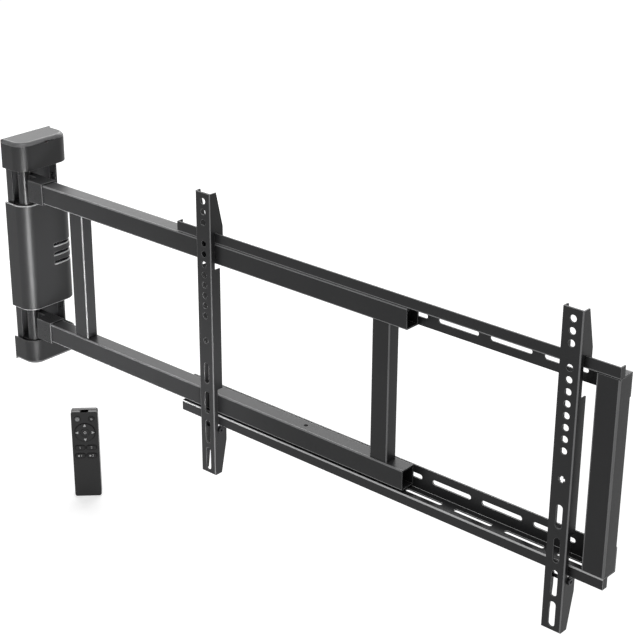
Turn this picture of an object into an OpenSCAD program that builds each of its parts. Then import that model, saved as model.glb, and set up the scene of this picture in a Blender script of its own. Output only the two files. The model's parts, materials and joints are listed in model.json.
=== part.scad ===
// Motorized swing-out wall mount for a flat screen, with its hand remote.
// X runs along the wall, -Y points into the room and Z is up.
// The origin is the middle of the wall bracket's back face.
// The arm is drawn swung out square to the wall, with its screen side facing -X.

/* [Column] */
// width of the plastic covers
col_w = 99; // [86:1:160]
// depth of the covers from the wall
col_d = 47; // [46:1:80]
// radius of the covers' front corners
col_r = 22; // [6:1:23]
// wall of the covers
cover_t = 2.5; // [1.5:0.1:4]
// height of the top cap
cap_top_h = 46; // [30:1:70]
// height of the upper hinge opening
gap_top_h = 56; // [52:1:80]
// height of the middle cover
mid_h = 177; // [150:1:260]
// height of the lower hinge opening
gap_bot_h = 54; // [52:1:80]
// height of the bottom cap
cap_bot_h = 41; // [30:1:70]
// height of one vent slot
vent_h = 5; // [3:0.5:8]
// distance from one vent slot to the next
vent_pitch = 15; // [9:0.5:20]
// number of vent slots
vent_count = 3; // [1:1:5]

/* [Wall bracket] */
// distance from the covers' sides to the bracket's flanges
bracket_in = 5.5; // [4:0.5:9]
// sheet thickness of the bracket
bracket_t = 3; // [2:0.5:5]
// depth of the flange on the hinge side
flange_left_d = 15; // [10:1:18]
// depth of the flange on the far side
flange_right_d = 18; // [10:1:18]
// wall bolt spacing across
wall_bolt_x = 48; // [40:1:60]
// wall bolt spacing up and down
wall_bolt_z = 318; // [200:1:340]
// diameter of the wall bolt holes
wall_bolt_hole = 9; // [6:0.5:12]

/* [Hinge] */
// hinge axis, distance from the covers' hinge-side edge
hinge_in = 17; // [15:0.5:25]
// hinge axis, distance from the wall
hinge_out = 31; // [28:0.5:34]
// diameter of the pivot shaft
pivot_d = 12; // [10:0.5:16]
// outer diameter of the hinge barrels
barrel_d = 20; // [16:0.5:22]
// length of the hinge block body along the arm
block_l = 33; // [30:1:60]
// width of the hinge block body
block_w = 29; // [28:1:50]
// height of the hinge block body
block_h = 35; // [32:1:42]
// distance from the hinge axis to the hinge block body
block_off = 27; // [20:1:34]
// height of the tubes above the middles of the hinge openings
arm_rise = 3; // [0:0.5:6]

/* [Arm] */
// distance from the hinge axis to the tubes' free ends
arm_reach = 770; // [500:5:1000]
// depth of the tubes, square to the screen
tube_d = 25; // [20:1:40]
// height of the tubes
tube_h = 30; // [20:1:40]
// wall of the tubes
tube_t = 2; // [1.2:0.1:3]
// distance from the hinge axis to the tubes' screen-side faces
tube_front = 13; // [8:0.5:20]
// distance from the hinge axis to the near brace
brace_near_x = 116; // [80:1:200]
// distance from the hinge axis to the far brace
brace_far_x = 712; // [400:1:900]
// width of the braces
brace_w = 29; // [20:1:50]
// depth of the braces
brace_d = 20; // [15:1:35]
// wall of the braces
brace_t = 1.5; // [1:0.1:3]

/* [Rail frame] */
// distance from the hinge axis to the rails' near ends
rail_x = 356; // [200:1:500]
// length of the rails
rail_l = 724; // [500:1:900]
// sheet thickness of the rails, the end panel and the uprights
sheet_t = 2; // [1.5:0.1:3]
// height of the rail lips above and below the tubes
lip_h = 16; // [12:0.5:25]
// gap between the lower tube and the shelf under it
rail_drop = 3; // [0:0.5:6]
// length of the folded lip ends
lip_tab = 10; // [6:0.5:14]
// length of the rail slots
slot_l = 62; // [40:1:90]
// height of the rail slots
slot_h = 6.6; // [6:0.1:12]
// distance from one rail slot to the next
slot_pitch = 79.5; // [60:0.5:110]
// number of rail slots
slot_count = 8; // [3:1:8]
// width of the end panel
panel_w = 32; // [20:1:60]
// thread diameter of the rail bolts
rail_bolt_d = 6; // [5:1:6]

/* [Uprights] */
// length of the uprights
upright_l = 436; // [300:1:640]
// width of the uprights
upright_w = 29; // [24:1:50]
// distance from the rails' near ends to the near upright
near_in = 47; // [10:1:120]
// distance from the far upright's hinge-side edge to the rails' far ends
far_in = 77; // [62:1:160]
// height of the uprights' upper ends above the upper tube
upright_top = 75; // [60:1:160]
// distance from the rail lips to the uprights' faces
upright_off = 9; // [6:0.5:16]
// depth of the uprights' side flanges at the hooks
hook_d = 24; // [20:0.5:30]
// depth of the uprights' side flanges between the rails
flange_d = 17; // [7:0.5:18]
// diameter of the screen bolt holes
screen_hole = 9; // [6:0.5:12]
// distance from one screen bolt hole to the next
screen_pitch = 15.6; // [12:0.1:25]
// height of the fixed screen pattern
screen_span = 400; // [200:50:400]

/* [Drive] */
// tooth size, pitch diameter per tooth
gear_mod = 1; // [0.8:0.1:1.2]
// teeth of the gear on the pivot shaft
wheel_teeth = 20; // [18:1:20]
// teeth of the pinion
pinion_teeth = 12; // [10:1:14]
// width of the gears
gear_w = 8; // [5:0.5:12]
// diameter of the gearbox
gearbox_d = 32; // [28:1:34]
// length of the gearbox
gearbox_l = 30; // [20:1:50]
// length of the motor
motor_l = 62; // [40:1:80]
// diameter of the pinion shaft
pinion_shaft_d = 6; // [4:0.5:8]

/* [Remote] */
// width of the remote
remote_w = 45; // [36:1:60]
// height of the remote
remote_h = 160; // [120:1:220]
// thickness of the remote
remote_d = 18; // [16:0.5:28]
// how far the keys can be pressed
key_travel = 0.8; // [0.4:0.1:1.2]

/* [Hidden] */
$fn = 48;
eps = 1;
// clearances
fit_run = 0.05;
fit_gap = 0.3;
fit_flat = 0.2;
fit_fast = 0.25;
// heights of the column, from the bottom up
col_h = cap_top_h + gap_top_h + mid_h + gap_bot_h + cap_bot_h;
z_base = -col_h / 2;
z_cap_bot = z_base + cap_bot_h;
z_mid_bot = z_cap_bot + gap_bot_h;
z_mid_top = z_mid_bot + mid_h;
z_cap_top = z_mid_top + gap_top_h;
z_top = z_cap_top + cap_top_h;
// wall bracket
bracket_w = col_w - 2 * bracket_in;
wall_hole_in = 12.5;
wall_mid_x = bracket_w / 2 - wall_hole_in - wall_bolt_x / 2;
cover_screw_y = -11;
cover_screw_z = [z_base + cap_bot_h / 2, z_mid_bot + mid_h / 5, z_mid_top - mid_h / 5,
    z_top - cap_top_h / 2];
// hinge
hinge_x = -col_w / 2 + hinge_in;
hinge_y = -hinge_out;
z_up = (z_mid_top + z_cap_top) / 2 + arm_rise;
z_lo = (z_cap_bot + z_mid_bot) / 2 + arm_rise;
// bearing plates sit just inside the covers, facing the hinge openings
plate_t = 3;
plate_in = 1;
plate_gap = 1;
plate_z = [z_cap_bot - plate_in - plate_t, z_mid_bot + plate_in, z_mid_top - plate_in - plate_t,
    z_cap_top + plate_in];
bush_t = 2;
bush_flange_t = 1.5;
bush_lip = 1.5;
bush_flange_d = pivot_d + 2 * (bush_t + bush_lip);
washer_t = 1;
ring_t = 1.2;
ring_groove = 1;
ring_wide = 3;
shaft_over = 5;
ring_out = shaft_over - fit_gap;
pin_d = 4;
pin_drop = 4.5;
// tubes, in the arm's own frame: x along the arm, -y to the screen
tube_y = -tube_front;
tube_x = block_off + block_l;
spigot_l = 22;
web_in = 2;
web_w = 12;
brace_in = 2.5;
up_top = z_up + tube_h / 2;
lo_top = z_lo + tube_h / 2;
// rails
web_y = tube_y + tube_d + fit_flat;
shelf_z = tube_h / 2 + fit_flat;
shelf_lo = shelf_z + rail_drop;
slot_over = 48;
slot_behind = 4;
slot_first = arm_reach - slot_over - slot_behind * slot_pitch;
shelf_slot_over = 2;
shelf_slot_first = arm_reach - shelf_slot_over - slot_behind * slot_pitch;
shelf_slot_y = tube_y + tube_d / 2;
shelf_slot_l = 59;
shelf_slot_w = 6;
rail_bolt_in = 28;
rail_bolt_x = [slot_first + rail_bolt_in, slot_first + rail_bolt_in + slot_behind * slot_pitch];
rail_bolt_l = 18;
rail_head_d = 10.5;
rail_head_t = 3.3;
rail_washer_d = 14;
rail_washer_t = 1.6;
rail_nut_d = 9;
rail_nut_lip = 1;
rail_nut_l = 6;
panel_x = rail_x + rail_l - panel_w;
panel_flange_d = tube_d + fit_flat;
// uprights
upright_x = rail_x + near_in;
far_x = rail_x + rail_l - far_in;
upright_z = up_top + upright_top;
face_y = tube_y - upright_off;
hole_first = 13;
hole_skip = 3;
hole_count = 12;
lip_room = 2;
lip_seat = 0.3;
lip_lane = upright_off - lip_room;
hook_low = 5;
tube_room = 8;
hook_taper = 52;
tip_top_d = 12;
tip_bot_d = 13;
left_flange_d = 9;
lock_d = 5;
lock_nut_d = 8;
lock_nut_t = 4;
lock_head_d = 9;
lock_head_t = 3.5;
lock_room = 5;
lock_z = z_lo - shelf_lo - lip_h - lock_room - lock_d / 2;
lock_y = tube_y + sheet_t / 2;
slot_len = [33, 35, 37, 36];
slot_top_z = [183, 229, 275, hole_first - upright_top + screen_span - slot_len[3] / 2];
cross_z = 148;
cross_w = 4;
cross_l = 9;
// drive train
gear_backlash = 0.15;
wheel_r = gear_mod * wheel_teeth / 2;
pinion_r = gear_mod * pinion_teeth / 2;
mesh_r = wheel_r + pinion_r + gear_backlash;
gear_z = 52;
gear_lift = 1.5;
out_off = 7;
motor_y = -26;
motor_dy = motor_y - hinge_y;
motor_dx = sqrt((mesh_r + out_off) * (mesh_r + out_off) - motor_dy * motor_dy);
motor_x = hinge_x + motor_dx;
mesh_a = atan2(motor_dy, motor_dx);
pinion_x = hinge_x + mesh_r * cos(mesh_a);
pinion_y = hinge_y + mesh_r * sin(mesh_a);
shelf_t = 2.5;
shelf_top_z = gear_z - gear_w / 2 - gear_lift;
motor_step = 1;
motor_d = gearbox_d - 2 * motor_step;
boss_d = 12;
boss_t = 3;
// electronics
board_side = 1.5;
board_gap = 4;
board_right = bracket_w / 2 - bracket_t - board_side;
board_w = board_right - motor_x - gearbox_d / 2 - board_gap;
board_h = 110;
board_t = 1.6;
board_x = board_right - board_w / 2;
board_y = -9;
board_z = -6;
post_d = 6;
inlet_x = board_x;
inlet_y = -26;
inlet_d = 11;
inlet_bore = 5.8;
ir_x = 3;
ir_w = 6;
ir_h = 2.5;
// small screws
screw_d = 4;
screw_head_d = 7.5;
screw_head_t = 2.4;
screw_l = 8.5;
// remote
remote_x = 36;
remote_y = -62;
remote_z = -372;
remote_yaw = -45;
remote_t = 1.6;
remote_r = 4;
key_up = 1;
key_gap = 0.3;
key_base = 1.4;
aaa_d = 10.5;
aaa_l = 44.5;

charcoal = [0.2, 0.2, 0.205];
satin_black = [0.15, 0.15, 0.155];
steel = [0.62, 0.63, 0.64];
zinc = [0.7, 0.7, 0.72];
brass = [0.78, 0.6, 0.3];
board_green = [0.07, 0.3, 0.17];
key_black = [0.11, 0.11, 0.115];
key_grey = [0.55, 0.56, 0.57];

// shared shapes

module arm_place() {
    translate([hinge_x, hinge_y, 0]) rotate([0, 0, -90]) children();
}

module d_outline(inset) {
    r = col_r - inset;
    w = col_w - 2 * inset;
    d = col_d - inset;
    translate([-w / 2, -d + r]) square([w, d - r]);
    translate([-w / 2 + r, -d]) square([w - 2 * r, d]);
    for (s = [-1, 1]) translate([s * (w / 2 - r), -d + r]) circle(r);
}

module slot_cut(len, wide, deep) {
    // a round-ended slot along x, cut through along y
    rotate([-90, 0, 0]) linear_extrude(deep) union() {
        translate([wide / 2, 0]) circle(d = wide);
        translate([len - wide / 2, 0]) circle(d = wide);
        translate([wide / 2, -wide / 2]) square([len - wide, wide]);
    }
}

module socket_screw(d, len, head_d, head_t) {
    // head seated at the origin, shank along -z
    difference() {
        union() {
            cylinder(d = head_d, h = head_t);
            translate([0, 0, -len]) cylinder(d = d, h = len + head_t / 2);
        }
        translate([0, 0, head_t / 2]) cylinder(d = d * 0.9, h = head_t, $fn = 6);
    }
}

module gear(teeth, bore_d, phase) {
    r_p = gear_mod * teeth / 2;
    r_root = r_p - 1.2 * gear_mod;
    r_tip = r_p + 0.9 * gear_mod;
    root_a = 360 / teeth * 0.34;
    tip_a = 360 / teeth * 0.11;
    pts = [for (i = [0 : teeth - 1]) let (a = phase + i * 360 / teeth)
        for (p = [[r_root, -root_a], [r_tip, -tip_a], [r_tip, tip_a], [r_root, root_a]])
            [p[0] * cos(a + p[1]), p[0] * sin(a + p[1])]];
    linear_extrude(gear_w, center = true) difference() {
        polygon(pts);
        circle(d = bore_d + 2 * fit_run);
    }
}

// wall unit

module wall_bracket() {
    color(charcoal) difference() {
        union() {
            translate([-bracket_w / 2, -bracket_t, z_base + cover_t + fit_gap])
                cube([bracket_w, bracket_t, col_h - 2 * (cover_t + fit_gap)]);
            translate([-bracket_w / 2, -flange_left_d, z_base + cover_t + fit_gap])
                cube([bracket_t, flange_left_d, col_h - 2 * (cover_t + fit_gap)]);
            translate([bracket_w / 2 - bracket_t, -flange_right_d, z_base + cover_t + fit_gap])
                cube([bracket_t, flange_right_d, col_h - 2 * (cover_t + fit_gap)]);
        }
        for (x = [-1, 1], z = [-1, 1])
            translate([wall_mid_x + x * wall_bolt_x / 2, eps, z * wall_bolt_z / 2])
                rotate([90, 0, 0]) cylinder(d = wall_bolt_hole, h = bracket_t + 2 * eps);
        for (z = cover_screw_z)
            translate([bracket_w / 2 - bracket_t - eps, cover_screw_y, z])
                rotate([0, 90, 0]) cylinder(d = screw_d + 2 * fit_run, h = bracket_t + 2 * eps);
    }
}

module bearing_plates() {
    inner = bracket_w / 2 - bracket_t;
    color(charcoal) for (z = plate_z)
        translate([0, 0, z]) linear_extrude(plate_t) difference() {
            intersection() {
                d_outline(cover_t + plate_gap);
                translate([-inner, -col_d]) square([2 * inner, col_d - bracket_t]);
            }
            translate([hinge_x, hinge_y]) circle(d = pivot_d + 2 * bush_t);
            translate([board_x, plate_slot_y]) circle(d = plate_slot_d);
        }
}
plate_slot_y = -24;
plate_slot_d = 14;

module cover_wall(h) {
    linear_extrude(h) difference() {
        d_outline(0);
        d_outline(cover_t);
        translate([-col_w / 2 + cover_t, -cover_t - eps]) square([col_w - 2 * cover_t, cover_t + 2 * eps]);
    }
}

module cover_screw_hole(z) {
    translate([col_w / 2 - cover_t - eps, cover_screw_y, z])
        rotate([0, 90, 0]) cylinder(d = screw_d + 2 * fit_fast, h = cover_t + 2 * eps);
}

module cover_boss(z) {
    // the cover stands off the flange on this sleeve
    translate([bracket_w / 2, cover_screw_y, z]) rotate([0, 90, 0]) difference() {
        cylinder(d = screw_head_d, h = (col_w - bracket_w) / 2 - cover_t / 2);
        translate([0, 0, -eps]) cylinder(d = screw_d + 2 * fit_fast, h = col_w);
    }
}

module top_cap() {
    color(satin_black) {
        difference() {
            union() {
                translate([0, 0, z_cap_top]) cover_wall(cap_top_h - cover_t / 2);
                translate([0, 0, z_top - cover_t]) linear_extrude(cover_t) d_outline(0);
            }
            cover_screw_hole(cover_screw_z[3]);
            translate([ir_x - ir_w / 2, -col_d - eps, z_top - cover_t - 2 * ir_h])
                cube([ir_w, cover_t + 2 * eps, ir_h]);
        }
        cover_boss(cover_screw_z[3]);
    }
}

module middle_cover() {
    vent_x = col_w / 20;
    vent_y = -col_d / 2;
    color(satin_black) {
        difference() {
            translate([0, 0, z_mid_bot]) cover_wall(mid_h);
            for (i = [0 : vent_count - 1])
                translate([vent_x, -col_d - eps, vent_top - i * vent_pitch - vent_h])
                    cube([col_w, col_d + eps + vent_y, vent_h]);
            for (i = [1, 2]) cover_screw_hole(cover_screw_z[i]);
        }
        for (i = [1, 2]) cover_boss(cover_screw_z[i]);
    }
}
vent_top = z_mid_bot + mid_h * 0.58;

module bottom_cap() {
    color(satin_black) {
        difference() {
            union() {
                translate([0, 0, z_base + cover_t / 2]) cover_wall(cap_bot_h - cover_t / 2);
                translate([0, 0, z_base]) linear_extrude(cover_t) d_outline(0);
            }
            cover_screw_hole(cover_screw_z[0]);
            translate([inlet_x, inlet_y, z_base - eps]) cylinder(d = inlet_d, h = cover_t + 2 * eps);
        }
        cover_boss(cover_screw_z[0]);
    }
}

module cover_screws() {
    color(steel) for (z = cover_screw_z)
        translate([col_w / 2, cover_screw_y, z]) rotate([0, 90, 0])
            socket_screw(screw_d, screw_l, screw_head_d, screw_head_t);
}

module pivot_bushes() {
    color(brass) for (i = [0 : 3]) {
        up = i % 2 == 0 ? 1 : -1;
        z_face = up > 0 ? plate_z[i] + plate_t : plate_z[i];
        translate([hinge_x, hinge_y, z_face]) scale([1, 1, up]) difference() {
            union() {
                cylinder(d = bush_flange_d, h = bush_flange_t);
                translate([0, 0, -plate_t])
                    cylinder(d = pivot_d + 2 * bush_t, h = plate_t + bush_flange_t / 2);
            }
            translate([0, 0, -plate_t - eps])
                cylinder(d = pivot_d + 2 * fit_run, h = plate_t + bush_flange_t + 2 * eps);
        }
    }
}

// drive

module motor_shelf() {
    shelf_l = motor_x + gearbox_d / 2 - (-bracket_w / 2 + bracket_t);
    color(charcoal) difference() {
        union() {
            translate([-bracket_w / 2 + bracket_t, motor_y - gearbox_d / 2, shelf_top_z - shelf_t])
                cube([shelf_l, gearbox_d / 2 - motor_y - bracket_t, shelf_t]);
            translate([-bracket_w / 2 + bracket_t, -bracket_t - shelf_t, shelf_top_z - shelf_t])
                cube([shelf_l, shelf_t, gearbox_l / 2]);
        }
        translate([hinge_x - bracket_w, hinge_y - bracket_w, 0])
            cube([bracket_w + shelf_notch, bracket_w + shelf_notch, shelf_top_z + eps]);
        translate([pinion_x, pinion_y, shelf_top_z - shelf_t - eps])
            cylinder(d = boss_d + 2 * fit_fast, h = shelf_t + 2 * eps);
        for (a = shelf_screw_a)
            translate([motor_x, motor_y, shelf_top_z - shelf_t - eps]) rotate([0, 0, a])
                translate([gearbox_d * shelf_screw_share, 0, 0])
                    cylinder(d = shelf_screw_d + 2 * fit_fast, h = shelf_t + 2 * eps);
    }
}
shelf_notch = pivot_d / 2 + 1;
shelf_screw_a = [-60, 60];
shelf_screw_d = 3;
shelf_screw_share = 0.38;

module gearbox() {
    color(steel) {
        difference() {
            translate([motor_x, motor_y, shelf_top_z - shelf_t - gearbox_l])
                cylinder(d = gearbox_d, h = gearbox_l);
            translate([pinion_x, pinion_y, shelf_top_z - shelf_t - gearbox_l / 2])
                cylinder(d = pinion_shaft_d + 2 * fit_run, h = gearbox_l);
            for (a = shelf_screw_a)
                translate([motor_x, motor_y, shelf_top_z - shelf_t - gearbox_l / 3]) rotate([0, 0, a])
                    translate([gearbox_d * shelf_screw_share, 0, 0])
                        cylinder(d = shelf_screw_d + 2 * fit_run, h = gearbox_l);
        }
        translate([pinion_x, pinion_y, shelf_top_z - shelf_t]) difference() {
            cylinder(d = boss_d, h = boss_t);
            translate([0, 0, -eps]) cylinder(d = pinion_shaft_d + 2 * fit_run, h = boss_t + 2 * eps);
        }
    }
}

module drive_motor() {
    motor_top = shelf_top_z - shelf_t - gearbox_l;
    cap_d = motor_d / 3;
    color(zinc) {
        translate([motor_x, motor_y, motor_top - motor_l]) cylinder(d = motor_d, h = motor_l);
        translate([motor_x, motor_y, motor_top - motor_l - boss_t]) cylinder(d = cap_d, h = boss_t + eps);
    }
}

module shelf_screws() {
    color(steel) for (a = shelf_screw_a)
        translate([motor_x, motor_y, shelf_top_z]) rotate([0, 0, a])
            translate([gearbox_d * shelf_screw_share, 0, 0])
                socket_screw(shelf_screw_d, gearbox_l / 4, shelf_screw_d * 1.8, shelf_screw_d * 0.7);
}

module drive_pinion() {
    z0 = shelf_top_z - shelf_t - gearbox_l / 2 + eps;
    z1 = gear_z + gear_w / 2 + eps;
    color(steel) {
        translate([pinion_x, pinion_y, gear_z])
            gear(pinion_teeth, pinion_shaft_d - 4 * fit_run, mesh_a + 180 + 180 / pinion_teeth);
        translate([pinion_x, pinion_y, z0]) cylinder(d = pinion_shaft_d, h = z1 - z0);
    }
}

module swing_gear() {
    color(steel) translate([hinge_x, hinge_y, gear_z]) gear(wheel_teeth, pivot_d, mesh_a);
}

module control_board() {
    color(board_green) translate([board_x - board_w / 2, board_y - board_t, board_z - board_h / 2])
        difference() {
            cube([board_w, board_t, board_h]);
            for (x = [post_d, board_w - post_d], z = [post_d, board_h - post_d])
                translate([x, -eps, z]) rotate([-90, 0, 0])
                    cylinder(d = screw_d / 2 + fit_gap, h = board_t + 2 * eps);
        }
}

module board_relays() {
    relay = [15, 15.5, 19];
    relay_pitch = 22;
    color([0.08, 0.2, 0.5]) for (i = [0, 1])
        translate([board_x - relay[0] / 2, board_y - board_t - relay[1],
            board_z + board_h / 2 - (i + 1) * relay_pitch - post_d / 2]) cube(relay);
}

module board_capacitor() {
    cap_d = 12;
    cap_l = 20;
    color(key_black) translate([board_x, board_y - board_t, board_z - board_h / 8])
        rotate([90, 0, 0]) cylinder(d = cap_d, h = cap_l);
}

module board_terminal() {
    way = 5;
    block = [3 * way, 2 * way, 1.8 * way];
    color([0.1, 0.45, 0.25]) difference() {
        translate([board_x - block[0] / 2, board_y - board_t - block[1], board_z - board_h / 2 + post_d * 2])
            cube(block);
        for (i = [0 : 2])
            translate([board_x - block[0] / 2 + way * (i + 0.5), board_y - board_t - block[1] + way / 2,
                board_z - board_h / 2 + post_d * 2 - eps]) cylinder(d = way * 0.6, h = block[2] / 2);
    }
}

module board_posts() {
    color(brass) for (x = [post_d, board_w - post_d], z = [post_d, board_h - post_d])
        translate([board_x - board_w / 2 + x, board_y, board_z - board_h / 2 + z])
            rotate([-90, 0, 0]) cylinder(d = post_d, h = -board_y - bracket_t);
}

module dc_inlet() {
    inlet_l = 16;
    rim_d = inlet_d + 2 * rim_t;
    color(key_black) translate([inlet_x, inlet_y, z_base]) difference() {
        union() {
            translate([0, 0, -rim_t]) cylinder(d = rim_d, h = rim_t);
            translate([0, 0, -rim_t / 2]) cylinder(d = inlet_d - 2 * fit_fast, h = inlet_l);
            translate([0, 0, cover_t]) cylinder(d = rim_d, h = rim_t);
        }
        translate([0, 0, -rim_t - eps]) cylinder(d = inlet_bore, h = inlet_l - rim_t);
    }
}
rim_t = 2;

module ir_window() {
    low = z_top - cover_t - 2 * ir_h + fit_fast;
    color([0.12, 0.02, 0.03]) translate([ir_x - ir_w / 2 + fit_fast, -col_d, low])
        cube([ir_w - 2 * fit_fast, cover_t, ir_h - 2 * fit_fast]);
}

// hinge

module pivot_shaft() {
    z0 = plate_z[0] - shaft_over;
    z1 = plate_z[3] + plate_t + shaft_over;
    color(steel) difference() {
        translate([hinge_x, hinge_y, z0]) cylinder(d = pivot_d, h = z1 - z0);
        for (z = [z0 + ring_out - ring_t - fit_flat, z1 - ring_out - fit_flat])
            translate([hinge_x, hinge_y, z]) difference() {
                cylinder(d = pivot_d + eps, h = ring_t + 2 * fit_flat);
                translate([0, 0, -eps])
                    cylinder(d = pivot_d - 2 * ring_groove, h = ring_t + 2 * (fit_flat + eps));
            }
        for (i = [0, 1]) pin_hole(i);
    }
}

module pin_hole(i) {
    translate([hinge_x, hinge_y, barrel_high[i] - pin_drop]) rotate([0, 90, 0])
        cylinder(d = pin_d + 2 * fit_run, h = barrel_d + 2 * eps, center = true);
}

module retaining_rings() {
    z0 = plate_z[0] - shaft_over;
    z1 = plate_z[3] + plate_t + shaft_over;
    color(steel) for (z = [z0 + ring_out - ring_t, z1 - ring_out])
        translate([hinge_x, hinge_y, z]) difference() {
            cylinder(d = pivot_d - 2 * ring_groove + 2 * ring_wide, h = ring_t);
            translate([0, 0, -eps])
                cylinder(d = pivot_d - 2 * ring_groove + 2 * fit_flat, h = ring_t + 2 * eps);
            translate([0, -pivot_d, -eps]) translate([-pivot_d / 6, 0, 0])
                cube([pivot_d / 3, pivot_d, ring_t + 2 * eps]);
        }
}

barrel_low = [plate_z[0] + plate_t + bush_flange_t + washer_t + 2 * fit_flat,
    plate_z[2] + plate_t + bush_flange_t + washer_t + 2 * fit_flat];
barrel_high = [plate_z[1] - bush_flange_t - fit_gap, plate_z[3] - bush_flange_t - fit_gap];

module thrust_washers() {
    color(brass) for (i = [0, 1])
        translate([hinge_x, hinge_y, barrel_low[i] - fit_flat - washer_t]) difference() {
            cylinder(d = bush_flange_d, h = washer_t);
            translate([0, 0, -eps]) cylinder(d = pivot_d + 4 * fit_run, h = washer_t + 2 * eps);
        }
}

module hinge_block(i, z) {
    spigot_in = tube_t + fit_flat;
    barrel_h = barrel_high[i] - barrel_low[i];
    color(charcoal) difference() {
        union() {
            translate([hinge_x, hinge_y, barrel_low[i]]) cylinder(d = barrel_d, h = barrel_h);
            arm_place() {
                translate([0, web_in, z - block_h / 2]) cube([block_off + eps, web_w, block_h]);
                translate([block_off, -tube_front + tube_d / 2 - block_w / 2, z - block_h / 2])
                    cube([block_l, block_w, block_h]);
                translate([tube_x - eps, tube_y + spigot_in, z - tube_h / 2 + spigot_in])
                    cube([spigot_l + eps, tube_d - 2 * spigot_in, tube_h - 2 * spigot_in]);
            }
        }
        translate([hinge_x, hinge_y, barrel_low[i] - eps])
            cylinder(d = pivot_d + 2 * fit_run, h = barrel_h + 2 * eps);
        pin_hole(i);
    }
}

module upper_hinge_block() {
    hinge_block(1, z_up);
}

module lower_hinge_block() {
    hinge_block(0, z_lo);
}

module roll_pins() {
    color(steel) for (z = barrel_high)
        translate([hinge_x, hinge_y, z - pin_drop]) rotate([0, 90, 0])
            cylinder(d = pin_d, h = barrel_d, center = true);
}

// arm

module arm_tube(z) {
    color(charcoal) arm_place() difference() {
        translate([tube_x, tube_y, z - tube_h / 2]) cube([arm_reach - tube_x, tube_d, tube_h]);
        translate([tube_x - eps, tube_y + tube_t, z - tube_h / 2 + tube_t])
            cube([arm_reach - tube_x + 2 * eps, tube_d - 2 * tube_t, tube_h - 2 * tube_t]);
        for (x = rail_bolt_x)
            translate([x, tube_y + tube_d / 2, z]) rotate([-90, 0, 0])
                cylinder(d = rail_nut_d + 2 * fit_flat, h = tube_d);
    }
}

module upper_tube() {
    arm_tube(z_up);
}

module lower_tube() {
    arm_tube(z_lo);
}

module brace(x) {
    color(charcoal) arm_place() translate([x, tube_y + brace_in, lo_top]) difference() {
        cube([brace_w, brace_d, up_top - tube_h - lo_top]);
        translate([brace_t, brace_t, -eps])
            cube([brace_w - 2 * brace_t, brace_d - 2 * brace_t, up_top - tube_h - lo_top + 2 * eps]);
    }
}

module near_brace() {
    brace(brace_near_x);
}

module far_brace() {
    brace(brace_far_x);
}

// rail frame

module at_rail_bolts() {
    arm_place() for (x = rail_bolt_x, z = [z_up, z_lo]) translate([x, web_y + sheet_t, z]) children();
}

module rail_bolts() {
    color(zinc) at_rail_bolts() translate([0, rail_washer_t + fit_flat, 0]) rotate([-90, 0, 0])
        socket_screw(rail_bolt_d, rail_bolt_l, rail_head_d, rail_head_t);
}

module rail_washers() {
    color(zinc) at_rail_bolts() translate([0, fit_flat, 0]) rotate([-90, 0, 0]) difference() {
        cylinder(d = rail_washer_d, h = rail_washer_t);
        translate([0, 0, -eps]) cylinder(d = rail_bolt_d + 2 * fit_gap, h = rail_washer_t + 2 * eps);
    }
}

module rail_nuts() {
    back = fit_flat + sheet_t + fit_flat;
    color(zinc) at_rail_bolts() translate([0, -back, 0]) rotate([90, 0, 0]) difference() {
        union() {
            cylinder(d = rail_nut_d, h = tube_t + rail_nut_l / 2);
            translate([0, 0, tube_t]) cylinder(d = rail_nut_d + 2 * rail_nut_lip, h = rail_nut_l);
        }
        translate([0, 0, -eps]) cylinder(d = rail_bolt_d + 2 * fit_run, h = tube_t + rail_nut_l + 2 * eps);
    }
}

module rail(shelf) {
    // web behind the tube, shelf over it, lip up from the shelf's front edge
    color(charcoal) difference() {
        union() {
            translate([rail_x, web_y, -tube_h / 2]) cube([rail_l, sheet_t, tube_h / 2 + shelf + sheet_t]);
            translate([rail_x, tube_y, shelf]) cube([rail_l, web_y + sheet_t - tube_y, sheet_t]);
            translate([rail_x, tube_y, shelf]) cube([rail_l, sheet_t, lip_h]);
            for (x = [rail_x, rail_x + rail_l - sheet_t])
                translate([x, tube_y, shelf]) cube([sheet_t, lip_tab, lip_h]);
        }
        for (i = [0 : slot_count - 1]) {
            translate([slot_first + i * slot_pitch, web_y - eps, 0])
                slot_cut(slot_l, slot_h, sheet_t + 2 * eps);
            translate([shelf_slot_first + i * slot_pitch, shelf_slot_y, shelf - eps])
                rotate([90, 0, 0]) slot_cut(shelf_slot_l, shelf_slot_w, sheet_t + 2 * eps);
        }
    }
}

module upper_rail() {
    arm_place() translate([0, 0, z_up]) rail(shelf_z);
}

module lower_rail() {
    arm_place() translate([0, 0, z_lo]) scale([1, 1, -1]) rail(shelf_lo);
}

module end_panel() {
    low = z_lo - shelf_lo;
    high = z_up + shelf_z;
    color(charcoal) arm_place() translate([panel_x, tube_y, low]) difference() {
        cube([panel_w, panel_flange_d, high - low]);
        translate([sheet_t, sheet_t, -eps])
            cube([panel_w - 2 * sheet_t, panel_flange_d, high - low + 2 * eps]);
    }
}

// uprights, drawn from their hinge-side edge

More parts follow.
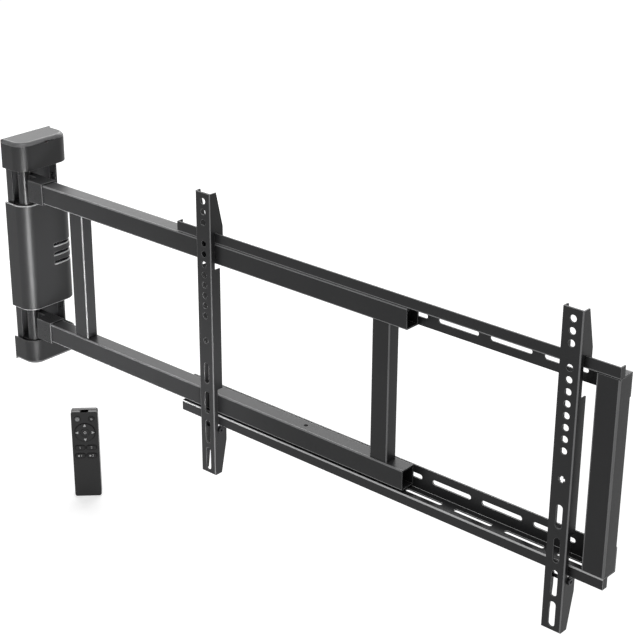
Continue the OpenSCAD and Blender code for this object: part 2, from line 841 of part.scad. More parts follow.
module flange_profile(deep, tip_top, tip_bot) {
    top = upright_z;
    bot = upright_z - upright_l;
    lip_top = z_up + shelf_z + lip_h + lip_seat;
    lip_bot = z_lo - shelf_lo - lip_h - lip_room;
    hook_end = z_up + shelf_z + sheet_t + hook_low;
    tongue = upright_off + sheet_t + lip_seat;
    web_bot = z_up - tube_h / 2 - tube_room;
    web_top = z_lo + tube_h / 2 + tube_room;
    mid_d = min(flange_d, deep);
    polygon([[0, top], [tip_top, top], [deep, top - hook_taper], [deep, hook_end], [tongue, hook_end],
        [tongue, lip_top], [lip_lane, lip_top], [lip_lane, web_bot], [mid_d, web_bot],
        [mid_d, web_top], [lip_lane, web_top], [lip_lane, lip_bot], [deep, lip_bot],
        [deep, lip_bot - hook_taper / 2], [tip_bot, bot], [0, bot]]);
}

module side_flange(deep, tip_top, tip_bot) {
    // profile drawn as depth against height, stood up in the y-z plane
    rotate([90, 0, 90]) linear_extrude(sheet_t) flange_profile(deep, tip_top, tip_bot);
}

module upright() {
    color(charcoal) translate([0, face_y, 0]) difference() {
        union() {
            translate([0, 0, upright_z - upright_l]) cube([upright_w, sheet_t, upright_l]);
            translate([upright_w - sheet_t, 0, 0]) side_flange(hook_d, tip_top_d, tip_bot_d);
            side_flange(hook_d - lip_tab / 2, left_flange_d, tip_bot_d);
        }
        translate([upright_w / 2, -eps, 0]) {
            for (i = [0 : hole_count - 1]) if (i != hole_skip)
                translate([0, 0, upright_z - hole_first - i * screen_pitch])
                    rotate([-90, 0, 0]) cylinder(d = screen_hole, h = sheet_t + 2 * eps);
            for (i = [0 : 3])
                translate([0, 0, up_top - slot_top_z[i]]) rotate([0, 90, 0])
                    slot_cut(slot_len[i], screen_hole, sheet_t + 2 * eps);
            for (a = [0, 90])
                translate([0, sheet_t / 2 + eps, up_top - cross_z]) rotate([0, a, 0])
                    cube([cross_w, sheet_t + 2 * eps, cross_l], center = true);
        }
        translate([-eps, lock_y - face_y, lock_z]) rotate([0, 90, 0])
            cylinder(d = lock_d + 2 * fit_fast, h = upright_w + 2 * eps);
    }
}

module near_upright() {
    arm_place() translate([upright_x, 0, 0]) upright();
}

module far_upright() {
    arm_place() translate([far_x, 0, 0]) upright();
}

module lock_bolt(x) {
    color(zinc) arm_place() translate([x + upright_w, lock_y, lock_z]) rotate([0, 90, 0])
        socket_screw(lock_d, upright_w, lock_head_d, lock_head_t);
}

module near_lock_bolt() {
    lock_bolt(upright_x);
}

module far_lock_bolt() {
    lock_bolt(far_x);
}

module lock_nut(x) {
    color(zinc) arm_place() translate([x + sheet_t, lock_y, lock_z]) rotate([0, 90, 0]) difference() {
        cylinder(d = lock_nut_d * 1.15, h = lock_nut_t, $fn = 6);
        translate([0, 0, -eps]) cylinder(d = lock_d + 2 * fit_run, h = lock_nut_t + 2 * eps);
    }
}

module near_lock_nut() {
    lock_nut(upright_x);
}

module far_lock_nut() {
    lock_nut(far_x);
}

// remote, drawn with its face to -y and its middle at the origin

module remote_place() {
    translate([remote_x, remote_y, remote_z]) rotate([0, 0, remote_yaw]) children();
}

module remote_outline(inset) {
    w = remote_w - 2 * inset;
    h = remote_h - 2 * inset;
    r = remote_r - inset / 2;
    translate([-w / 2 + r, -h / 2]) square([w - 2 * r, h]);
    translate([-w / 2, -h / 2 + r]) square([w, h - 2 * r]);
    for (x = [-1, 1], z = [-1, 1]) translate([x * (w / 2 - r), z * (h / 2 - r)]) circle(r);
}

module remote_slab(inset, y0, y1) {
    translate([0, y1, 0]) rotate([90, 0, 0]) linear_extrude(y1 - y0) remote_outline(inset);
}

key_round_d = 8.4;
key_pill_w = 16;
key_pill_h = 8;
ring_d = 33;
ok_d = 14;
key_x = 11.7;
pill_x = 9.6;
key_row_z = [67, 42, 13.3, -1.9];

module round_cut(d, x, z, y0, y1) {
    translate([x, y1, z]) rotate([90, 0, 0]) cylinder(d = d, h = y1 - y0);
}

module pill_cut(x, z, grow, y0, y1) {
    h = key_pill_h + 2 * grow;
    w = key_pill_w + 2 * grow;
    translate([x, y1, z]) rotate([90, 0, 0]) linear_extrude(y1 - y0) {
        square([w - h, h], center = true);
        for (s = [-1, 1]) translate([s * (w - h) / 2, 0]) circle(d = h);
    }
}

module remote_front_shell() {
    y_in = -remote_d / 2 + remote_t;
    color(satin_black) remote_place() difference() {
        remote_slab(0, -remote_d / 2, 0);
        remote_slab(remote_t, y_in, eps);
        for (s = [-1, 1]) round_cut(key_round_d + 2 * key_gap, s * key_x, key_row_z[0], -remote_d, 0);
        round_cut(ring_d + 2 * key_gap, 0, key_row_z[1], -remote_d, 0);
        for (s = [-1, 1], z = [key_row_z[2], key_row_z[3]]) pill_cut(s * pill_x, z, key_gap, -remote_d, 0);
        translate([-lens_w / 2, -remote_d / 4 - lens_h / 2, remote_h / 2 - 2 * remote_t])
            cube([lens_w, lens_h, 4 * remote_t]);
    }
}
lens_w = 12;
lens_h = 5;
door_w = 32;
door_h = 52;
door_z = -46;

module remote_back_shell() {
    color(satin_black) remote_place() difference() {
        remote_slab(0, 0, remote_d / 2);
        remote_slab(remote_t, -eps, remote_d / 2 - remote_t);
        translate([-door_w / 2, 0, door_z - door_h / 2]) cube([door_w, remote_d, door_h]);
    }
}

module remote_battery_door() {
    color(key_black) remote_place()
        translate([-door_w / 2 + fit_flat, remote_d / 2 - remote_t, door_z - door_h / 2 + fit_flat])
            cube([door_w - 2 * fit_flat, remote_t, door_h - 2 * fit_flat]);
}

module remote_cells() {
    cell_y = remote_d / 2 - remote_t - fit_flat - aaa_d / 2;
    color(brass) remote_place() for (s = [-1, 1])
        translate([s * (aaa_d + fit_gap) / 2, cell_y, door_z - aaa_l / 2]) cylinder(d = aaa_d, h = aaa_l);
}

pcb_y = -remote_d / 2 + remote_t + key_base + key_travel + fit_flat;

module remote_board() {
    color(board_green) remote_place()
        translate([-remote_w / 2 + remote_t + fit_flat, pcb_y, -remote_h / 2 + remote_r])
            cube([remote_w - 2 * (remote_t + fit_flat), board_t, remote_h - 2 * remote_r]);
}

module remote_lens() {
    color([0.12, 0.02, 0.03]) remote_place()
        translate([-lens_w / 2 + fit_flat, -remote_d / 4 - lens_h / 2 + fit_flat, remote_h / 2 - remote_t])
            cube([lens_w - 2 * fit_flat, lens_h - 2 * fit_flat, remote_t]);
}

key_top = -remote_d / 2 - key_up;
key_back = -remote_d / 2 + remote_t + fit_flat;

module round_key(d, x, z, c) {
    color(c) remote_place() {
        round_cut(d, x, z, key_top, key_back + key_base / 2);
        round_cut(d + 2 * key_base, x, z, key_back, key_back + key_base - fit_flat);
    }
}

module pill_key(x, z, c) {
    color(c) remote_place() {
        pill_cut(x, z, 0, key_top, key_back + key_base / 2);
        pill_cut(x, z, key_base, key_back, key_back + key_base - fit_flat);
    }
}

module power_key() {
    round_key(key_round_d, -key_x, key_row_z[0], key_grey);
}

module set_key() {
    round_key(key_round_d, key_x, key_row_z[0], key_black);
}

module direction_ring() {
    color(key_black) remote_place() difference() {
        union() {
            round_cut(ring_d, 0, key_row_z[1], key_top, key_back + key_base / 2);
            round_cut(ring_d + 2 * key_base, 0, key_row_z[1], key_back, key_back + key_base - fit_flat);
        }
        round_cut(ok_d + 2 * key_gap, 0, key_row_z[1], -remote_d, 0);
    }
}

module ok_key() {
    color(key_black) remote_place() round_cut(ok_d, 0, key_row_z[1], key_top, key_back + key_base - fit_flat);
}

module preset_one_key() {
    pill_key(-pill_x, key_row_z[2], key_black);
}

module preset_two_key() {
    pill_key(pill_x, key_row_z[2], key_black);
}

module memory_one_key() {
    pill_key(-pill_x, key_row_z[3], key_black);
}

module memory_two_key() {
    pill_key(pill_x, key_row_z[3], key_black);
}

wall_bracket();
bearing_plates();
top_cap();
middle_cover();
bottom_cap();
cover_screws();
pivot_bushes();
motor_shelf();
gearbox();
drive_motor();
shelf_screws();
control_board();
board_relays();
board_capacitor();
board_terminal();
board_posts();
dc_inlet();
ir_window();
pivot_shaft();
thrust_washers();
retaining_rings();
upper_hinge_block();
lower_hinge_block();
roll_pins();
swing_gear();
upper_tube();
lower_tube();
near_brace();
far_brace();
rail_bolts();
rail_washers();
rail_nuts();
drive_pinion();
upper_rail();
lower_rail();
end_panel();
near_upright();
far_upright();
near_lock_bolt();
far_lock_bolt();
near_lock_nut();
far_lock_nut();
remote_front_shell();
remote_back_shell();
remote_battery_door();
remote_cells();
remote_board();
remote_lens();
power_key();
set_key();
direction_ring();
ok_key();
preset_one_key();
preset_two_key();
memory_one_key();
memory_two_key();
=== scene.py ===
import json
import math

import bmesh
import bpy
from mathutils import Matrix, Vector

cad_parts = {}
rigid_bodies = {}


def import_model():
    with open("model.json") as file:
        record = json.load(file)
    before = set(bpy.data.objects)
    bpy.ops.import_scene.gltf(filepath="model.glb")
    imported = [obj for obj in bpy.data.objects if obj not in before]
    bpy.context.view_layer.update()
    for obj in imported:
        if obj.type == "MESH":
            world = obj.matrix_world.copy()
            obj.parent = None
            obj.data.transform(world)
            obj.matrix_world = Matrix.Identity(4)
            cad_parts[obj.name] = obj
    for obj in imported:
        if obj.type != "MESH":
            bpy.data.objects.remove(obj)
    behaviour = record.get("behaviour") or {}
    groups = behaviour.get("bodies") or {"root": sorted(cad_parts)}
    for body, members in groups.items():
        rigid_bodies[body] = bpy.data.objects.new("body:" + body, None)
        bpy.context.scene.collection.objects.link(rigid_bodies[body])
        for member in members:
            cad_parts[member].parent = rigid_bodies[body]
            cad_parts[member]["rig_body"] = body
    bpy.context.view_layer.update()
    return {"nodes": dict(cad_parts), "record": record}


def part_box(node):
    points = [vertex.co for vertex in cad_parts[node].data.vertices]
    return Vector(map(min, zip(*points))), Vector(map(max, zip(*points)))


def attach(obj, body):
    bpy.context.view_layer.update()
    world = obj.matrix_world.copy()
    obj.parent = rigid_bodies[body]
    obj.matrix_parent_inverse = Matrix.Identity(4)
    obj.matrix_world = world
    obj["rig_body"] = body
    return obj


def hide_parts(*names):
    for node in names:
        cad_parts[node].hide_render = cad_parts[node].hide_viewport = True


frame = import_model()
scene = bpy.context.scene
NODES = frame["nodes"]
SLOT = {s["node"]: s["material_slot"] for s in frame["record"]["subparts"]}
MM = 0.001
X, Y, Z = Vector((1, 0, 0)), Vector((0, 1, 0)), Vector((0, 0, 1))


# materials: noise scales are in cycles per metre

CLOUD, SPECK, PEEL = 14, 1400, 700
FLOW, SPARK = 9, 2600
ACROSS, ALONG, STAIN = 2600, 60, 60
LINE_DEPTH = 0.000006


def shader(name):
    """A bare material with one Principled shader, and the object coordinates to drive it."""
    material = bpy.data.materials.new(name)
    material.use_nodes = True
    tree = material.node_tree
    tree.nodes.clear()
    out = tree.nodes.new("ShaderNodeOutputMaterial")
    bsdf = tree.nodes.new("ShaderNodeBsdfPrincipled")
    tree.links.new(bsdf.outputs[0], out.inputs[0])
    coord = tree.nodes.new("ShaderNodeTexCoord")
    return material, tree, bsdf, coord.outputs["Object"]


def noise(tree, coords, scale, detail=3.0):
    """The grey of a noise texture."""
    node = tree.nodes.new("ShaderNodeTexNoise")
    node.inputs["Scale"].default_value = scale
    node.inputs["Detail"].default_value = detail
    node.inputs["Roughness"].default_value = 0.55
    tree.links.new(coords, node.inputs["Vector"])
    return node.outputs["Fac"]


def stretched(tree, coords, scale):
    """The coordinates, each axis times its own scale."""
    node = tree.nodes.new("ShaderNodeMapping")
    node.inputs["Scale"].default_value = scale
    tree.links.new(coords, node.inputs["Vector"])
    return node.outputs[0]


def ramp(tree, fac, stops):
    """A colour ramp through (place, grey) or (place, colour) stops."""
    node = tree.nodes.new("ShaderNodeValToRGB")
    for element, (place, tone) in zip(node.color_ramp.elements, stops):
        element.position = place
        element.color = (*tone, 1) if hasattr(tone, "__len__") else (tone, tone, tone, 1)
    tree.links.new(fac, node.inputs[0])
    return node.outputs[0]


def bump(tree, bsdf, height, distance, under=None):
    """A bump on the shader's normal, laid over an earlier bump where under is given."""
    node = tree.nodes.new("ShaderNodeBump")
    node.inputs["Distance"].default_value = distance
    node.inputs["Strength"].default_value = 1.0
    tree.links.new(height, node.inputs["Height"])
    if under is not None:
        tree.links.new(under, node.inputs["Normal"])
    tree.links.new(node.outputs[0], bsdf.inputs["Normal"])
    return node.outputs[0]


def mixed(tree, tone, plain_colour, fac):
    """The tone of a socket, with a plain colour laid over it by fac."""
    node = tree.nodes.new("ShaderNodeMix")
    node.data_type = "RGBA"
    tree.links.new(tone, node.inputs[6])
    node.inputs[7].default_value = (*plain_colour, 1)
    tree.links.new(fac, node.inputs[0])
    return node.outputs[2]


def times(colour, factor):
    return [min(1, c * factor) for c in colour]


def powder_coat(name, base, rough=0.42, grain=0.000012, level=0.2):
    """Baked paint: a faint cloud, fine lighter specks and an orange-peel surface."""
    material, tree, bsdf, coords = shader(name)
    bsdf.inputs["Specular IOR Level"].default_value = level
    cloud = noise(tree, coords, CLOUD, 4)
    fine = noise(tree, coords, SPECK, 2)
    tone = ramp(tree, cloud, [(0.3, times(base, 0.9)), (0.7, times(base, 1.12))])
    speck = ramp(tree, fine, [(0.62, 0), (0.78, 1)])
    tree.links.new(mixed(tree, tone, times(base, 1.5), speck), bsdf.inputs["Base Color"])
    tree.links.new(ramp(tree, fine, [(0.3, rough - 0.05), (0.7, rough + 0.07)]), bsdf.inputs["Roughness"])
    peel = noise(tree, coords, PEEL, 2)
    under = bump(tree, bsdf, peel, grain)
    bump(tree, bsdf, fine, grain * 0.4, under)
    return material


def moulded(name, base, rough=0.36, grain=0.000004, coat=0.0, level=0.4):
    """Moulded plastic or rubber with a fine sparked surface."""
    material, tree, bsdf, coords = shader(name)
    bsdf.inputs["Specular IOR Level"].default_value = level
    cloud = noise(tree, coords, FLOW, 3)
    spark = noise(tree, coords, SPARK, 2)
    tree.links.new(ramp(tree, cloud, [(0.3, times(base, 0.93)), (0.7, times(base, 1.07))]),
                   bsdf.inputs["Base Color"])
    tree.links.new(ramp(tree, spark, [(0.3, rough - 0.04), (0.7, rough + 0.06)]), bsdf.inputs["Roughness"])
    bump(tree, bsdf, spark, grain)
    bsdf.inputs["Coat Weight"].default_value = coat
    bsdf.inputs["Coat Roughness"].default_value = 0.12
    return material


def metal(name, base, rough=0.3, along="z"):
    """Metal with fine lines along one axis."""
    material, tree, bsdf, coords = shader(name)
    lines = noise(tree, stretched(tree, coords, [ALONG if axis == along else ACROSS for axis in "xyz"]), 1.0)
    cloud = noise(tree, coords, STAIN)
    tree.links.new(ramp(tree, lines, [(0.25, times(base, 0.8)), (0.75, times(base, 1.1))]),
                   bsdf.inputs["Base Color"])
    bsdf.inputs["Metallic"].default_value = 1.0
    tree.links.new(ramp(tree, cloud, [(0.3, rough - 0.06), (0.7, rough + 0.08)]), bsdf.inputs["Roughness"])
    bump(tree, bsdf, lines, LINE_DEPTH)
    return material


# each is a base colour and a roughness, then what isn't the usual; a grain is in metres
MAT = {
    "powder_coat": powder_coat("powder_coat_charcoal", (0.024, 0.0242, 0.0252), 0.36),
    "hinge_coat": powder_coat("hinge_coat_charcoal", (0.022, 0.0222, 0.0231), 0.3, grain=0.000006),
    "cover_plastic": moulded("cover_plastic_satin", (0.011, 0.0111, 0.0117), 0.43, level=0.32),
    # painted highlight: a lighter colour on the rounded edges of the powder-coated parts
    "coat_edge_highlight": powder_coat("powder_coat_edge_highlight", (0.2, 0.2, 0.204), 0.3, grain=0.000005, level=0.5),
    # painted highlight: a near-white colour on the lower rail's rounded bends and edges
    "rail_edge_highlight": powder_coat("powder_coat_bright_edge_highlight", (0.64, 0.64, 0.645), 0.3, grain=0.000005, level=0.5),
    # painted highlight, dimmer: a lighter colour on the rounded edges of the hinge blocks and the wall
    # bracket
    "hinge_edge_highlight": powder_coat("hinge_coat_edge_highlight", (0.07, 0.07, 0.072), 0.3, grain=0.000005, level=0.35),
    # painted highlight: a light grey on the middle cover's rounded rims and the vents' lower lips
    "rim_highlight": moulded("cover_plastic_rim_highlight", (0.42, 0.42, 0.425), 0.35, level=0.5),
    # painted highlight: a lighter colour on the caps' rounded chamfers and bends
    "cover_edge_highlight": moulded("cover_plastic_edge_highlight", (0.09, 0.09, 0.092), 0.3, level=0.5),
    # painted shade: a near-black for the louvre sheets behind the vents; also the tube plug's own black
    "shade_and_plug_black": moulded("vent_shade_and_plug_black", (0.004, 0.004, 0.0042), 0.7, level=0.08),
    "bright_steel": metal("steel_ground", (0.55, 0.56, 0.57), 0.27),
    "zinc_plate": metal("zinc_plated", (0.5, 0.51, 0.53), 0.33, along="x"),
    "black_zinc": metal("zinc_plated_black", (0.045, 0.045, 0.048), 0.36, along="x"),
    "brass_plain": metal("brass_turned", (0.5, 0.35, 0.13), 0.35),
    "bush_plastic": moulded("bush_acetal_black", (0.01, 0.01, 0.0105), 0.36),
    "board_laminate": moulded("board_laminate_green", (0.01, 0.09, 0.035), 0.3, grain=0.00002, coat=0.4),
    "relay_plastic": moulded("relay_plastic_blue", (0.01, 0.04, 0.22), 0.38),
    "terminal_plastic": moulded("terminal_plastic_green", (0.012, 0.16, 0.06), 0.4),
    "black_gloss": moulded("inlet_plastic_black", (0.013, 0.013, 0.014), 0.26),
    "ir_plastic": moulded("window_plastic_dark_red", (0.02, 0.003, 0.004), 0.12, grain=0.000002),
    "remote_plastic": moulded("remote_shell_black", (0.0075, 0.0075, 0.008), 0.25, grain=0.000006),
    "key_rubber": moulded("key_rubber_black", (0.0085, 0.0085, 0.009), 0.5, grain=0.00001),
    "key_grey_rubber": moulded("key_rubber_grey", (0.22, 0.225, 0.23), 0.45, grain=0.00001),
    "key_gloss": moulded("key_plastic_black", (0.0085, 0.0085, 0.009), 0.24, grain=0.000006),
    "legend": moulded("legend_white", (0.78, 0.78, 0.78), 0.5),
    "cell_jacket": metal("cell_jacket_steel", (0.45, 0.46, 0.48), 0.3),
}


# dressed copies of the CAD nodes, with real bend radii and broken edges; their rounded strips carry painted
# highlights

MERGE_GAP, STRAIGHT, NEAR = 0.002 * MM, 0.02 * MM, 0.04 * MM
SAME_PLANE, SHARP = math.radians(0.6), math.radians(32)
FLAT_WEIGHT = 90
BROKEN, SMALL, KEY_EDGE, BLOCK_EDGE = 0.0003, 0.0004, 0.0005, 0.0006
BLOCK_BEND, SHELL_BEND, RIM_BEND, BRACE_BEND = 0.0011, 0.0014, 0.0015, 0.0016
TUBE_BEND, SHEET_BEND, BRACKET_BEND, CAP_BEND = 0.0020, 0.0024, 0.0026, 0.006
CAP_PROFILE = 0.38


def weighted_copy(node, share, bends):
    """A copy of a node's mesh with whole flats, its bends weighted 1 for the bevel and other edges share."""
    mesh = NODES[node].data.copy()
    mesh.name = node + "_shape"
    bm = bmesh.new()
    bm.from_mesh(mesh)
    bmesh.ops.remove_doubles(bm, verts=bm.verts, dist=MERGE_GAP)
    bmesh.ops.dissolve_limit(bm, angle_limit=SAME_PLANE, verts=bm.verts, edges=bm.edges)
    layers = bm.edges.layers.float
    weight = layers.get("bevel_weight_edge") or layers.new("bevel_weight_edge")
    for edge in bm.edges:
        if len(edge.link_faces) != 2:
            continue
        if edge.calc_face_angle(0) < SHARP:
            edge[weight] = 0
        elif bends is not None and bends(edge.verts[0].co, edge.verts[1].co):
            edge[weight] = 1.0
        else:
            edge[weight] = share
    bm.to_mesh(mesh)
    bm.free()
    for face in mesh.polygons:
        face.use_smooth = True
    if mesh.has_custom_normals:
        mesh.normals_split_custom_set([(0, 0, 0)] * len(mesh.loops))
    for name in [a.name for a in mesh.attributes if a.name in ("sharp_edge", "sharp_face", "custom_normal")]:
        mesh.attributes.remove(mesh.attributes[name])
    return mesh


def held_in_box(shell, node):
    """Makes the modifiers' result the shell's own mesh, held inside the node's box."""
    bpy.context.view_layer.update()
    made = bpy.data.meshes.new_from_object(shell.evaluated_get(bpy.context.evaluated_depsgraph_get()))
    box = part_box(node)
    for v in made.vertices:
        v.co = [min(max(c, low), high) for c, low, high in zip(v.co, *box)]
    shell.modifiers.clear()
    shell.data = made


def dressed(node, wide, edge=BROKEN, bends=None, segments=3, material=None, profile=0.5,
            edges=None, boxed=False):
    """A copy of a CAD node with its sharp edges rounded: by edge, or by wide where bends(a, b) says so.

    The rounded strips take the material edges, a lighter colour that paints a highlight along them. A boxed
    copy is held inside the node's own box.
    """
    mesh = weighted_copy(node, edge / wide, bends)
    shell = bpy.data.objects.new(node + "_shell", mesh)
    scene.collection.objects.link(shell)
    bevel = shell.modifiers.new("round", "BEVEL")
    bevel.limit_method = "WEIGHT"
    bevel.offset_type = "OFFSET"
    bevel.width = wide
    bevel.segments = segments
    bevel.profile = profile
    bevel.use_clamp_overlap = False
    bevel.harden_normals = False
    bevel.miter_outer = "MITER_ARC"
    flats = shell.modifiers.new("flat_faces", "WEIGHTED_NORMAL")
    flats.keep_sharp = True
    flats.weight = FLAT_WEIGHT
    mesh.materials.clear()
    mesh.materials.append(material or MAT[SLOT[node]])
    # powder-coated parts get the painted edge highlight on their rounded strips
    if edges is None and SLOT[node] == "powder_coat":
        edges = MAT["coat_edge_highlight"]
    if edges:
        mesh.materials.append(edges)
        bevel.material = 1
    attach(shell, NODES[node]["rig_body"])
    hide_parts(node)
    if boxed:
        held_in_box(shell, node)


def on(value, wanted, tol=NEAR):
    """Whether a value is within tol of one of the wanted ones."""
    return any(abs(value - w) < tol for w in wanted)


def vertical(a, b):
    """Whether the edge from a to b stands upright."""
    return abs(a.x - b.x) < STRAIGHT and abs(a.y - b.y) < STRAIGHT


def along_arm(a, b):
    """Whether the edge from a to b runs the way of the arm, which is along Y at rest."""
    return abs(a.x - b.x) < STRAIGHT and abs(a.z - b.z) < STRAIGHT


def box_of(node):
    lo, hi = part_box(node)
    return Vector(lo), Vector(hi)


def vertical_bends(node, xs=(0, 1), ys=(0, 1)):
    """Picks the vertical edges at the chosen sides of the node's box, 0 low and 1 high."""
    box = box_of(node)
    return lambda a, b: (vertical(a, b) and on(a.y, [box[k].y for k in ys])
                         and on(a.x, [box[k].x for k in xs]))


def solid(name, rings, node, material, closed=False):
    """A closed strip through equal rings of points, which rides with the node."""
    mesh = bpy.data.meshes.new(name)
    n = len(rings[0])
    last = len(rings) if closed else len(rings) - 1
    faces = []
    for k in range(last):
        here, there = k * n, ((k + 1) % len(rings)) * n
        for q in range(n):
            r = (q + 1) % n
            faces.append((here + q, here + r, there + r, there + q))
    if not closed:
        faces.append(tuple(reversed(range(n))))
        faces.append(tuple(last * n + q for q in range(n)))
    mesh.from_pydata([tuple(v) for ring in rings for v in ring], [], faces)
    bm = bmesh.new()
    bm.from_mesh(mesh)
    bmesh.ops.recalc_face_normals(bm, faces=bm.faces)
    bm.to_mesh(mesh)
    bm.free()
    mesh.materials.append(material)
    made = bpy.data.objects.new(name, mesh)
    scene.collection.objects.link(made)
    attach(made, NODES[node]["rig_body"])


def turned(name, section, seat, axes, node, material, steps=24):
    """A turned piece. Its section is (radius, height) in mm, with the height along the first of the axes."""
    out, across, up = axes
    rings = []
    for q in range(steps):
        a = math.radians(q * 360 / steps)
        side = across * math.cos(a) + up * math.sin(a)
        rings.append([seat + (out * h + side * r) * MM for r, h in section])
    solid(name, rings, node, material, True)


# wall unit

# the wall bracket's rounded edges carry the dimmer painted highlight
dressed("wall_bracket", BRACKET_BEND, bends=vertical_bends("wall_bracket", ys=(1,)), edges=MAT["hinge_edge_highlight"])
cover_lo, cover_hi = box_of("middle_cover")
COVER_R, COVER_T = 22 * MM, 2.5 * MM
# the vents as the CAD cuts them: their start and top as shares of the cover's width and height
VENT_X_SHARE, VENT_TOP_SHARE = 1 / 20, 0.58
VENT_COUNT, VENT_PITCH, VENT_H = 3, 15 * MM, 5 * MM
VENT_X, VENT_END = (cover_hi.x - cover_lo.x) * VENT_X_SHARE, (cover_lo.y + cover_hi.y) / 2
VENT_TOP = cover_lo.z + (cover_hi.z - cover_lo.z) * VENT_TOP_SHARE
VENT_LOW = [VENT_TOP - VENT_PITCH * k - VENT_H for k in range(VENT_COUNT)]
FACE_NEAR = 0.2 * MM


def outline(inset, start, end, steps=14):
    """The covers' plan outline, from a place on the front round the right-hand corner to one on the side."""
    r = COVER_R - inset
    cx, cy = cover_hi.x - COVER_R, cover_lo.y + COVER_R
    pts = [Vector((start, cy - r, 0))]
    for k in range(steps + 1):
        a = -math.pi / 2 * (1 - k / steps)
        pts.append(Vector((cx + r * math.cos(a), cy + r * math.sin(a), 0)))
    pts.append(Vector((cx + r, end, 0)))
    return pts


def outer(p):
    """Whether a point lies on the covers' outer face."""
    dx, dy = abs(p.x) - (cover_hi.x - COVER_R), (cover_lo.y + COVER_R) - p.y
    if dx > 0 and dy > 0:
        return abs(math.hypot(dx, dy) - COVER_R) < FACE_NEAR
    return abs(abs(p.x) - cover_hi.x) < FACE_NEAR or abs(p.y - cover_lo.y) < FACE_NEAR


def cover_bend(a, b):
    """Picks the outer edges of the middle cover's rims and of the vents' lower lips."""
    rims = [cover_lo.z, cover_hi.z] + VENT_LOW
    return outer(a) and outer(b) and on(a.z, rims) and on(b.z, rims)


inlet_lo, inlet_hi = box_of("dc_inlet")
INLET, INLET_R, OFF_WALL = (inlet_lo + inlet_hi) / 2, 9 * MM, 0.1 * MM


def cap_bend(cap):
    """Picks the outer edges of a cap's closed end, but not those at the wall or round the power inlet."""
    lo, hi = box_of(cap)
    rim = hi.z if cap == "top_cap" else lo.z
    return lambda a, b: (on(a.z, [rim]) and on(b.z, [rim])
                         and (abs(a.y) > OFF_WALL or abs(b.y) > OFF_WALL)
                         and math.hypot(a.x - INLET.x, a.y - INLET.y) > INLET_R)


# its rims and the vents' lower lips carry the painted rim highlight
dressed("middle_cover", RIM_BEND, bends=cover_bend, edges=MAT["rim_highlight"])
# the caps' rounded chamfers and bends carry the painted highlight
for name in ("top_cap", "bottom_cap"):
    dressed(name, CAP_BEND, SMALL, cap_bend(name), 4, profile=CAP_PROFILE,
            edges=MAT["cover_edge_highlight"], boxed=True)

# behind each vent a louvre rises inwards, so that no light passes: a near-black sheet that paints the shade
# inside the cover. Side 0 of its section is at the cover's wall and side 1 is further in, with heights in mm
# over the vent's foot
LOUVRE_MORE, LOUVRE_IN, LOUVRE_OUT = 3 * MM, 4.6 * MM, 0.2 * MM
LOUVRE_SECTION = ((0, -1.2), (1, 6.4), (1, 7.4), (0, -0.1))
sides = [outline(inset, VENT_X - LOUVRE_MORE, VENT_END + LOUVRE_MORE)
         for inset in (COVER_T - LOUVRE_OUT, COVER_T + LOUVRE_IN)]
for k, low in enumerate(VENT_LOW):
    rings = [[pair[side] + Z * (low + height * MM) for side, height in LOUVRE_SECTION]
             for pair in zip(*sides)]
    solid("vent_shade_louvre_%d" % k, rings, "middle_cover", MAT["shade_and_plug_black"])
for name in ("bearing_plates", "motor_shelf"):
    dressed(name, SMALL)
# the hinge blocks' rounded edges carry the dimmer painted highlight
for name in ("upper_hinge_block", "lower_hinge_block"):
    dressed(name, BLOCK_BEND, BLOCK_EDGE, lambda a, b: vertical(a, b) or along_arm(a, b),
            material=MAT["hinge_coat"], edges=MAT["hinge_edge_highlight"])


# arm

def tube_bends(tube):
    """Picks a tube's four long outer edges."""
    box = box_of(tube)
    return lambda a, b: along_arm(a, b) and on(a.x, [p.x for p in box]) and on(a.z, [p.z for p in box])


for name in ("upper_tube", "lower_tube"):
    dressed(name, TUBE_BEND, bends=tube_bends(name), segments=4)
for name in ("near_brace", "far_brace"):
    dressed(name, BRACE_BEND, bends=vertical_bends(name))
for name in ("rail_bolts", "rail_washers", "rail_nuts", "near_lock_bolt", "far_lock_bolt",
             "near_lock_nut", "far_lock_nut", "cover_screws"):
    dressed(name, SMALL, SMALL, segments=2)


# rail frame

SHELF_OUT, SHELF_IN, SHELF_NEAR = 14 * MM, 16 * MM, 0.3 * MM


def rail_bends(rail):
    """Picks the two outer bends of a rail, where its shelf meets the web and the lip."""
    lo, hi = box_of(rail)
    up = rail == "upper_rail"
    shelf_out, shelf_in = [hi.z - drop if up else lo.z + drop for drop in (SHELF_OUT, SHELF_IN)]
    return lambda a, b: along_arm(a, b) and ((on(a.x, [hi.x]) and on(a.z, [shelf_out], SHELF_NEAR))
                                             or (on(a.x, [lo.x]) and on(a.z, [shelf_in], SHELF_NEAR)))


# the rails' rounded strips carry painted highlights, the lower rail's the brighter one
for name, highlight_material in (("upper_rail", "coat_edge_highlight"), ("lower_rail", "rail_edge_highlight")):
    dressed(name, SHEET_BEND, bends=rail_bends(name), edges=MAT[highlight_material])
for name in ("end_panel", "near_upright", "far_upright"):
    dressed(name, SHEET_BEND, bends=vertical_bends(name, xs=(0,)))


# remote

for name in ("remote_front_shell", "remote_back_shell"):
    dressed(name, SHELL_BEND, bends=lambda a, b: True)
for name in ("remote_battery_door", "remote_lens", "ir_window"):
    dressed(name, BROKEN, segments=2)
for name in ("power_key", "set_key", "direction_ring", "ok_key", "preset_one_key", "preset_two_key",
             "memory_one_key", "memory_two_key"):
    dressed(name, KEY_EDGE, KEY_EDGE)

